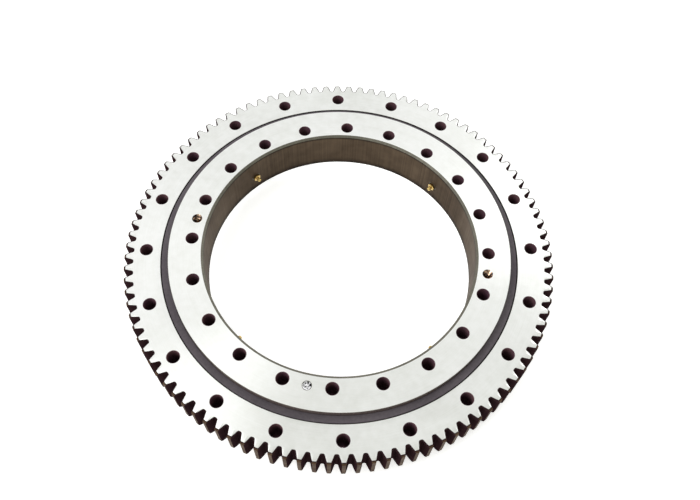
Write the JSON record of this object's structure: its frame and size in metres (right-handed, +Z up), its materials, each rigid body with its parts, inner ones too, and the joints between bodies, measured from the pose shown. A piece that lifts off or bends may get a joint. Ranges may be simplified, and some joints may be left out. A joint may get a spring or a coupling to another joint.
{
  "type": "slewing ring bearing",
  "caption": "Geared slewing ring: one row of balls between two bolted rings, spur teeth around the outer ring, rubber seals and grease nipples in the bore.",
  "frame": {"origin": "on the axis of rotation, in the plane of the geared outer ring's lower face, which the bearing stands on", "axes": "+Z up along the axis of rotation, from the outer ring's lower face to the inner ring's upper face; +X through a bolt hole of the outer ring; +Y completes a right-handed frame"},
  "size_m": [0.6286, 0.6288, 0.08],
  "materials": {
    "gear_steel": "ground faces, dark oiled teeth",
    "ring_steel": "ground faces, turned bore",
    "seal_rubber": "moulded matt",
    "pin_steel": "ground",
    "brass": "turned, bright",
    "spring_steel": "drawn wire",
    "ball_steel": "lapped, oiled",
    "nylon": "moulded"
  },
  "bodies": {
    "outer_ring_body": {"outer_ring": "gear_steel", "bottom_seal": "seal_rubber"},
    "inner_ring_body": {"inner_ring": "ring_steel", "top_seal": "seal_rubber", "filling_plug": "ring_steel", "plug_taper_pin": "pin_steel", "grease_nipples": "brass", "nipple_springs": "spring_steel"},
    "ball_set_body": {"ball_spacers": "nylon", "ball_01": "ball_steel", "ball_02": "ball_steel", "ball_03": "ball_steel", "ball_04": "ball_steel", "ball_05": "ball_steel", "ball_06": "ball_steel", "ball_07": "ball_steel", "ball_08": "ball_steel", "ball_09": "ball_steel", "ball_10": "ball_steel", "ball_11": "ball_steel", "ball_12": "ball_steel", "ball_13": "ball_steel", "ball_14": "ball_steel", "ball_15": "ball_steel", "ball_16": "ball_steel", "ball_17": "ball_steel", "ball_18": "ball_steel", "ball_19": "ball_steel", "ball_20": "ball_steel", "ball_21": "ball_steel", "ball_22": "ball_steel", "ball_23": "ball_steel", "ball_24": "ball_steel", "ball_25": "ball_steel", "ball_26": "ball_steel", "ball_27": "ball_steel", "ball_28": "ball_steel", "ball_29": "ball_steel", "ball_30": "ball_steel", "ball_31": "ball_steel", "ball_32": "ball_steel", "ball_33": "ball_steel", "ball_34": "ball_steel", "ball_35": "ball_steel", "ball_36": "ball_steel", "ball_37": "ball_steel", "ball_38": "ball_steel", "ball_39": "ball_steel", "ball_40": "ball_steel", "ball_41": "ball_steel", "ball_42": "ball_steel", "ball_43": "ball_steel", "ball_44": "ball_steel", "ball_45": "ball_steel", "ball_46": "ball_steel"},
    "check_ball_body_1": {"nipple_check_ball_1": "ball_steel"},
    "check_ball_body_2": {"nipple_check_ball_2": "ball_steel"},
    "check_ball_body_3": {"nipple_check_ball_3": "ball_steel"},
    "check_ball_body_4": {"nipple_check_ball_4": "ball_steel"}
  },
  "joints": [
    {"name": "slew", "type": "hinge", "parent": "outer_ring_body", "child": "inner_ring_body", "pos_m": [0, 0, 0.04], "axis": [0, 0, 1], "continuous": true},
    {"name": "ball_orbit", "type": "hinge", "parent": "outer_ring_body", "child": "ball_set_body", "pos_m": [0, 0, 0.04], "axis": [0, 0, 1], "continuous": true},
    {"name": "nipple_valve_1", "type": "slide", "parent": "inner_ring_body", "child": "check_ball_body_1", "axis": [0.7501, 0.6613, 0], "range_m": [0, 0.001], "stiffness_N_per_m": 150, "springref_m": -0.002, "deforming": ["nipple_springs"]},
    {"name": "nipple_valve_2", "type": "slide", "parent": "inner_ring_body", "child": "check_ball_body_2", "axis": [-0.6613, 0.7501, 0], "range_m": [0, 0.001], "stiffness_N_per_m": 150, "springref_m": -0.002, "deforming": ["nipple_springs"]},
    {"name": "nipple_valve_3", "type": "slide", "parent": "inner_ring_body", "child": "check_ball_body_3", "axis": [-0.7501, -0.6613, 0], "range_m": [0, 0.001], "stiffness_N_per_m": 150, "springref_m": -0.002, "deforming": ["nipple_springs"]},
    {"name": "nipple_valve_4", "type": "slide", "parent": "inner_ring_body", "child": "check_ball_body_4", "axis": [0.6613, -0.7501, 0], "range_m": [0, 0.001], "stiffness_N_per_m": 150, "springref_m": -0.002, "deforming": ["nipple_springs"]}
  ],
  "couplings": [
    {"joint": "ball_orbit", "follows": "slew", "ratio": 0.47879}
  ]
}
